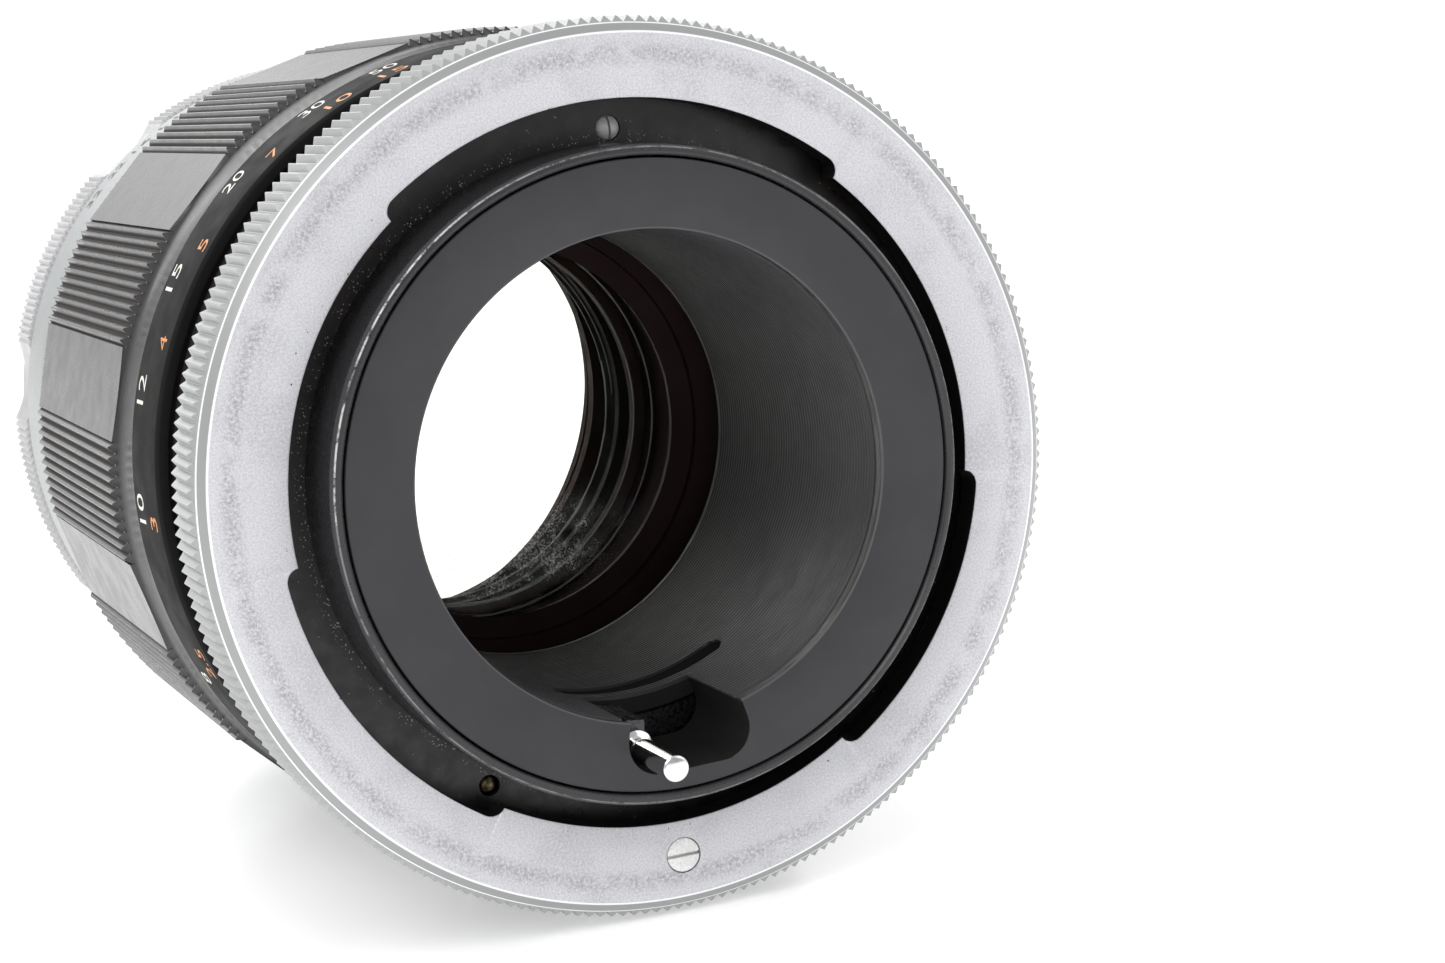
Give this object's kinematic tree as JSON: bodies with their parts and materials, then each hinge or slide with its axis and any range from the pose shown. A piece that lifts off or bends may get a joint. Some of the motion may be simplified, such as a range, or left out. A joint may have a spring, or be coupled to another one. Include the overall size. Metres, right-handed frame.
{
  "type": "prime camera lens",
  "caption": "Short telephoto prime lens with breech-lock mount, ribbed focusing grip, sliding optical block, iris diaphragm and knurled aperture ring.",
  "frame": {"origin": "on the optical axis, in the rear face of the breech ring at the camera end", "axes": "+Y along the optical axis towards the subject, +Z to the top of the lens where the focus index is, +X to the right seen from the camera"},
  "size_m": [0.0664, 0.0995, 0.0664],
  "materials": {
    "breech_ring": "satin, bead-blasted, clear anodised",
    "steel_screw": "turned steel",
    "brass_pin": "turned brass",
    "matt_black": "matt black anodised",
    "gloss_black": "gloss black anodised",
    "scale_black": "semi-gloss black anodised with engraved scale",
    "grip_black": "semi-gloss black anodised",
    "dark_steel": "blued steel",
    "polished_steel": "polished steel",
    "cell_black": "black lacquered brass",
    "optical_glass": "coated optical glass",
    "silver_ring": "satin clear anodised",
    "satin_grey": "satin clear anodised",
    "iris_steel": "blued spring steel"
  },
  "bodies": {
    "lens_mount": {"rear_baffle": "matt_black", "throat_tube": "gloss_black", "mount_flange": "gloss_black", "flange_screw": "steel_screw", "locating_pin": "brass_pin", "main_barrel": "matt_black", "guide_keys": "brass_pin", "depth_scale_ring": "gloss_black", "focus_retaining_ring": "brass_pin", "lever_spring": "dark_steel"},
    "breech_lock": {"breech_ring": "breech_ring", "breech_stop_screw": "steel_screw"},
    "focus_drive": {"focus_carrier": "brass_pin", "focus_scale_ring": "scale_black", "focus_grip": "grip_black"},
    "lever_unit": {"lever_ring": "dark_steel", "aperture_lever_pin": "polished_steel"},
    "optical_block": {"inner_helicoid": "matt_black", "front_barrel": "matt_black", "front_screws": "steel_screw", "rear_cell": "matt_black", "rear_retaining_ring": "cell_black", "rear_positive_element": "optical_glass", "rear_negative_element": "optical_glass", "middle_cell": "cell_black", "third_element": "optical_glass", "third_element_ring": "cell_black", "second_element": "optical_glass", "second_element_ring": "cell_black", "front_spacer": "cell_black", "front_element": "optical_glass", "name_ring": "gloss_black", "filter_ring": "silver_ring", "aperture_scale_ring": "satin_grey", "iris_base_plate": "matt_black", "iris_cover": "matt_black", "click_ball": "polished_steel"},
    "diaphragm_drive": {"iris_cam_ring": "brass_pin", "iris_drive_pin": "steel_screw", "diaphragm_ring": "grip_black"},
    "aperture_control": {"aperture_ring": "silver_ring"},
    "blade_1": {"iris_blade_1": "iris_steel"},
    "blade_2": {"iris_blade_2": "iris_steel"},
    "blade_3": {"iris_blade_3": "iris_steel"},
    "blade_4": {"iris_blade_4": "iris_steel"},
    "blade_5": {"iris_blade_5": "iris_steel"},
    "blade_6": {"iris_blade_6": "iris_steel"},
    "blade_7": {"iris_blade_7": "iris_steel"},
    "blade_8": {"iris_blade_8": "iris_steel"}
  },
  "joints": [
    {"name": "breech_turn", "type": "hinge", "parent": "lens_mount", "child": "breech_lock", "pos_m": [0, 0.003, 0], "axis": [0, -1, 0], "range_deg": [0, 55]},
    {"name": "focus_turn", "type": "hinge", "parent": "lens_mount", "child": "focus_drive", "pos_m": [0, 0.04, 0], "axis": [0, 1, 0], "range_deg": [0, 205]},
    {"name": "focus_slide", "type": "slide", "parent": "lens_mount", "child": "optical_block", "axis": [0, 1, 0], "range_m": [0, 0.01481]},
    {"name": "lever_swing", "type": "hinge", "parent": "lens_mount", "child": "lever_unit", "pos_m": [0, 0.009, 0], "axis": [0, -1, 0], "range_deg": [0, 17], "stiffness_Nm_per_rad": 0.02},
    {"name": "diaphragm_turn", "type": "hinge", "parent": "optical_block", "child": "diaphragm_drive", "pos_m": [0, 0.0573, 0], "axis": [0, -1, 0], "range_deg": [0, 36]},
    {"name": "aperture_turn", "type": "hinge", "parent": "optical_block", "child": "aperture_control", "pos_m": [0, 0.084, 0], "axis": [0, -1, 0], "range_deg": [0, 48]},
    {"name": "blade_swing_1", "type": "hinge", "parent": "optical_block", "child": "blade_1", "pos_m": [0.0234, 0.0545, 0], "axis": [0, -1, 0], "range_deg": [0, 34.01]},
    {"name": "blade_swing_2", "type": "hinge", "parent": "optical_block", "child": "blade_2", "pos_m": [0.01655, 0.0545, 0.01655], "axis": [0, -1, 0], "range_deg": [0, 34.01]},
    {"name": "blade_swing_3", "type": "hinge", "parent": "optical_block", "child": "blade_3", "pos_m": [0, 0.0545, 0.0234], "axis": [0, -1, 0], "range_deg": [0, 34.01]},
    {"name": "blade_swing_4", "type": "hinge", "parent": "optical_block", "child": "blade_4", "pos_m": [-0.01655, 0.0545, 0.01655], "axis": [0, -1, 0], "range_deg": [0, 34.01]},
    {"name": "blade_swing_5", "type": "hinge", "parent": "optical_block", "child": "blade_5", "pos_m": [-0.0234, 0.0545, 0], "axis": [0, -1, 0], "range_deg": [0, 34.01]},
    {"name": "blade_swing_6", "type": "hinge", "parent": "optical_block", "child": "blade_6", "pos_m": [-0.01655, 0.0545, -0.01655], "axis": [0, -1, 0], "range_deg": [0, 34.01]},
    {"name": "blade_swing_7", "type": "hinge", "parent": "optical_block", "child": "blade_7", "pos_m": [0, 0.0545, -0.0234], "axis": [0, -1, 0], "range_deg": [0, 34.01]},
    {"name": "blade_swing_8", "type": "hinge", "parent": "optical_block", "child": "blade_8", "pos_m": [0.01655, 0.0545, -0.01655], "axis": [0, -1, 0], "range_deg": [0, 34.01]}
  ],
  "couplings": [
    {"joint": "focus_slide", "follows": "focus_turn", "m_per_rad": 0.0041365},
    {"joint": "blade_swing_1", "follows": "diaphragm_turn", "ratio": 0.94444},
    {"joint": "blade_swing_2", "follows": "diaphragm_turn", "ratio": 0.94444},
    {"joint": "blade_swing_3", "follows": "diaphragm_turn", "ratio": 0.94444},
    {"joint": "blade_swing_4", "follows": "diaphragm_turn", "ratio": 0.94444},
    {"joint": "blade_swing_5", "follows": "diaphragm_turn", "ratio": 0.94444},
    {"joint": "blade_swing_6", "follows": "diaphragm_turn", "ratio": 0.94444},
    {"joint": "blade_swing_7", "follows": "diaphragm_turn", "ratio": 0.94444},
    {"joint": "blade_swing_8", "follows": "diaphragm_turn", "ratio": 0.94444}
  ]
}
